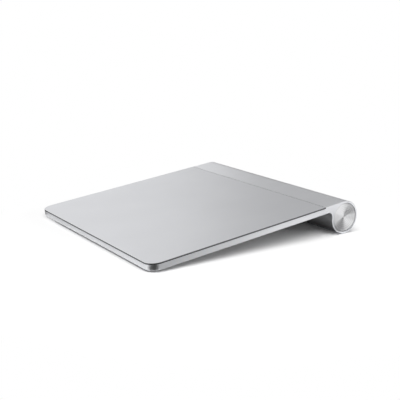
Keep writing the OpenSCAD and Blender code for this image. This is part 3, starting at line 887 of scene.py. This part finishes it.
def o_ring():
    """The round seal in the cap's groove."""
    steps, sides = 96, 16
    low, high = span("cap_o_ring")
    wire, outer = (high.x - low.x) / 2, (high.y - low.y) / 2
    middle = (low.x + high.x) / 2
    points = [about_tube(middle, outer - wire, turn) for turn in [*turns(steps), 2 * math.pi]]
    piece("cap_seal", sweep(points, wire, sides), "screw_cap", "cap_o_ring", "seal_rubber")


def cell(name, node):
    """A cell: a ring pressed into its flat end, rolled edges, and a raised terminal in a sunken seal."""
    low, high = span(node)
    flat, tip, side = low.x, high.x, (high.y - low.y) / 2
    ring_t, ring_slope, ring_out, ring_in = 0.12, 0.2, 1.0, 2.4
    roll_w, roll_middle = 0.5, 0.16
    flat_roll, flat_middle, top_roll, top_middle = 0.4, 0.12, 0.5, 0.14
    seal_t, seal_out = 0.3, 1.1
    nub_foot, nub_l, nub_r = 0.1, 1.2, 2.6
    tip_l, tip_middle, tip_w, tip_step = 0.3, 0.08, 0.35, 0.1
    top = tip - nub_l
    flat_end = [(flat, 0), (flat, side - ring_in), (flat + ring_t, side - ring_in + ring_slope),
                (flat + ring_t, side - ring_out - ring_slope), (flat, side - ring_out)]
    rolled = [(flat, side - roll_w), (flat + flat_middle, side - roll_middle), (flat + flat_roll, side),
              (top - top_roll, side), (top - top_middle, side - roll_middle), (top, side - roll_w)]
    seal = [(top, side - seal_out), (top - seal_t, side - seal_out - seal_t),
            (top - seal_t, nub_r + seal_t)]
    nub = [(top - nub_foot, nub_r), (tip - tip_l, nub_r), (tip - tip_middle, nub_r - tip_step),
           (tip, nub_r - tip_w), (tip, 0)]
    profile = [*flat_end, *rolled, *seal, *nub]
    piece(name, lathe(profile, CELL_STEPS), "cell_pair", node, "cell_case")


def contact_spring():
    """A conical coil that narrows towards the cells."""
    wire, coils, steps, sides, big, small = 0.35, 4, 28, 12, 4.7, 2.8
    low, high = span("cap_spring")
    count = coils * steps
    points = []
    for i in range(count + 1):
        share = i / count
        x = low.x + wire + (high.x - low.x - 2 * wire) * share
        points.append(about_tube(x, big + (small - big) * share, 2 * math.pi * i / steps))
    piece("cap_coil", sweep(points, wire, sides), "spring_contact", "cap_spring", "sheet_steel")


def dress_nodes():
    """Gives each CAD node that still shows the material of its slot."""
    slots = {p["node"]: p["material_slot"] for p in frame["record"]["subparts"]}
    for name, obj in frame["nodes"].items():
        if obj.hide_render:
            continue
        material = MATERIALS[slots[name]]
        for place in obj.material_slots:
            place.material = material
        if not obj.material_slots:
            obj.data.materials.append(material)


# Stage

def shown_rays(tree):
    """1 for the rays that show the background: seen, mirrored or looked through."""
    rays = tree.nodes.new("ShaderNodeLightPath")
    shown = rays.outputs["Is Camera Ray"]
    for kind in ("Is Glossy Ray", "Is Transmission Ray"):
        shown = combined(tree, "MAXIMUM", shown, rays.outputs[kind])
    return shown


def stage_object(name, bm, material):
    """A mesh in metres that belongs to the studio and not to the object."""
    obj = as_object(name, bm)
    obj.data.materials.append(material)
    return obj


def floor():
    """A white floor that takes the object's shadow and runs out into the white background."""
    half, squares, clouds_per_metre = 4.0, 8, 6
    to_middle, fade_start, fade_end = (-0.045, 0.01, 0), 0.095, 0.15
    bm = bmesh.new()
    bmesh.ops.create_grid(bm, x_segments=squares, y_segments=squares, size=half)
    material, tree, bsdf = shader("floor_white")
    cloud = noise(tree, coordinates(tree), 1 / (clouds_per_metre * MM))
    link(tree, tinted(tree, cloud, grey(0.97), grey(0.985)), bsdf.inputs["Base Color"])
    bsdf.inputs["Roughness"].default_value = 1.0
    bsdf.inputs["Specular IOR Level"].default_value = 0.0
    away = length_of(tree, coordinates(tree, move=to_middle))
    fade = spread(tree, away, 0, 1, start=fade_start, end=fade_end)
    fade.node.interpolation_type = "SMOOTHSTEP"
    share = combined(tree, "MULTIPLY", fade, shown_rays(tree))
    white = tree.nodes.new("ShaderNodeEmission")
    surface = mixed_shader(tree, share, bsdf.outputs["BSDF"], white.outputs["Emission"])
    link(tree, surface, tree.nodes["Material Output"].inputs["Surface"])
    stage_object("floor", bm, material)


def flag(name, rows, tones):
    """A panel between two rows of points, seen only in reflections, whose grey runs along the rows."""
    first, last = tones
    bm = bmesh.new()
    tone = bm.verts.layers.float.new("tone")
    near, far = [[bm.verts.new(point) for point in row] for row in rows]
    steps = len(near) - 1
    for row in (near, far):
        for i, vert in enumerate(row):
            vert[tone] = first + (last - first) * i / steps
    for i in range(steps):
        bm.faces.new((near[i], near[i + 1], far[i + 1], far[i]))
    material, tree, _ = shader(name)
    read = tree.nodes.new("ShaderNodeAttribute")
    read.attribute_name = "tone"
    glow = tree.nodes.new("ShaderNodeEmission")
    link(tree, read.outputs["Fac"], glow.inputs["Color"])
    link(tree, glow.outputs["Emission"], tree.nodes["Material Output"].inputs["Surface"])
    obj = stage_object(name, bm, material)
    obj.visible_camera = False
    obj.visible_diffuse = False
    obj.visible_shadow = False


def wall(name, foot, top, height, radius, tones):
    """A curved flag round the object, between azimuths in degrees at its foot and at its top."""
    rows = []
    for (start, end), z in ((foot, 0), (top, height)):
        rows.append([(x, y, z) for x, y in arc((0, 0), radius, start - 90, end - 90, WALL_STEPS)])
    flag(name, rows, tones)


def mat(name, near, far, tones):
    """A flag just above the floor, between the ends in metres of a near edge and of a far one."""
    lift = 0.0002
    flag(name, [[(x, y, lift) for x, y in edge] for edge in (near, far)], tones)


def flags():
    """Grey and dark panels, placed one by one, which the metal and the glass mirror as in the photograph.
    """
    # Behind the object and to its back right
    wall("grey_back", foot=(122, 233), top=(150, 256), height=2.2, radius=1.4, tones=(0.80, 0.35))
    wall("dark_back", foot=(145, 231), top=(145, 232), height=0.2, radius=1.3, tones=(0.04, 0.04))
    wall("dark_right", foot=(133, 198), top=(136, 198), height=0.6, radius=1.25, tones=(0.0, 0.0))
    mat("dark_behind", near=((-0.068, 0.066), (0.066, 0.066)), far=((-1.0, 0.5), (-0.5, 1.0)),
        tones=(0.2, 0.2))
    # On the floor by the button
    mat("dark_end", near=((0.069, 0.0658), (0.093, 0.0746)), far=((0.069, 0.048), (0.093, 0.062)),
        tones=(0.0, 0.0))
    # Low down, on the camera's side
    wall("dark_camera", foot=(38, 76), top=(38, 76), height=0.16, radius=0.7, tones=(0.01, 0.01))
    # On the floor off the two front corners
    mat("dark_floor", near=((0.0605, -0.068), (0.0665, -0.0605)), far=((0.36, -0.62), (0.70, -0.14)),
        tones=(0.0, 0.0))
    mat("dark_left", near=((-0.063, -0.068), (-0.067, -0.058)), far=((-0.33, -0.185), (-0.31, 0.105)),
        tones=(0.01, 0.01))
    # On the floor under the plate, to the right and in front
    # dark_under is a painted shadow: the floor's shade under the plate, darkest by the tube, which only
    # reflections show
    mat("dark_under", near=((-0.06, 0.005), (-0.06, 0.052)), far=((0.061, 0.005), (0.064, 0.052)),
        tones=(0.20, 0.0))
    mat("grey_floor", near=((0.067, -0.060), (0.068, 0.045)), far=((0.68, -0.17), (0.70, 0.42)),
        tones=(0.38, 0.95))
    mat("grey_front", near=((-0.07, -0.066), (0.06, -0.066)), far=((-0.27, -0.2), (-0.02, -0.2)),
        tones=(0.64, 0.82))


def world():
    """White where it is seen or mirrored, and a softer light on the object."""
    ambient = 0.25
    made = bpy.data.worlds.new("studio")
    made.use_nodes = True
    tree = made.node_tree
    tree.nodes.clear()
    soft = tree.nodes.new("ShaderNodeBackground")
    soft.inputs["Strength"].default_value = ambient
    white = tree.nodes.new("ShaderNodeBackground")
    for node in (soft, white):
        node.inputs["Color"].default_value = (*grey(1.0), 1)
    surface = mixed_shader(tree, shown_rays(tree), soft.outputs["Background"], white.outputs["Background"])
    out = tree.nodes.new("ShaderNodeOutputWorld")
    link(tree, surface, out.inputs["Surface"])
    bpy.context.scene.world = made


def softbox(name, place, size, level):
    """A lamp that faces the origin; its level is the grey that it gives a white card there."""
    away = -Vector(place)
    lamp = bpy.data.lights.new(name, "AREA")
    lamp.shape = "RECTANGLE"
    lamp.size, lamp.size_y = size
    lamp.energy = level * math.pi ** 2 * away.length_squared
    obj = bpy.data.objects.new(name, lamp)
    obj.visible_glossy = False
    obj.location = place
    obj.rotation_mode = "QUATERNION"
    obj.rotation_quaternion = away.to_track_quat("-Z", "Y")
    bpy.context.scene.collection.objects.link(obj)


def lamps():
    """A wide lamp above and a weak low one at the back right, which stay out of reflections."""
    softbox("top", place=(0.7, -0.3, 1.65), size=(2.2, 2.2), level=1.2)
    softbox("low", place=(1.0, 0.75, 0.35), size=(0.8, 0.3), level=0.25)


def camera():
    """The photograph's viewpoint, as fitted to the part's edges, with places in metres."""
    azimuth, elevation, roll = math.radians(57.28), math.radians(13.95), math.radians(-0.53)
    distance, focal_px, frame_px, sensor_mm = 0.475, 835.6, 400, 36
    aim_height, aim_right, aim_up = 0.008, 0.00433, 0.00544
    nearest, farthest = 0.01, 50
    level = math.cos(elevation)
    back = Vector((math.sin(azimuth) * level, -math.cos(azimuth) * level, math.sin(elevation)))
    across = Vector((math.cos(azimuth), math.sin(azimuth), 0))
    above = back.cross(across)
    right = across * math.cos(roll) + above * math.sin(roll)
    up = above * math.cos(roll) - across * math.sin(roll)
    data = bpy.data.cameras.new("camera")
    data.sensor_width = sensor_mm
    data.lens = focal_px / frame_px * sensor_mm
    data.clip_start, data.clip_end = nearest, farthest
    obj = bpy.data.objects.new("camera", data)
    place = Vector((0, 0, aim_height + aim_up)) + across * aim_right + back * distance
    turn = Matrix((right, up, back)).transposed().to_4x4()
    obj.matrix_world = Matrix.Translation(place) @ turn
    bpy.context.scene.collection.objects.link(obj)
    bpy.context.scene.camera = obj


shell()
glass()
seam_gasket()
cover()
front_foot("foot_front_left", "left_foot", "click_foot_left", "foot_carrier_left")
front_foot("foot_front_right", "right_foot", "click_foot_right", "foot_carrier_right")
rear_foot("foot_rear_left", "rear_foot_left")
rear_foot("foot_rear_right", "rear_foot_right")
power_button()
screw_cap()
o_ring()
cell("cell_left", "battery_left")
cell("cell_right", "battery_right")
contact_spring()
dress_nodes()
floor()
world()
lamps()
flags()
camera()
bpy.context.scene.view_settings.view_transform = "Standard"
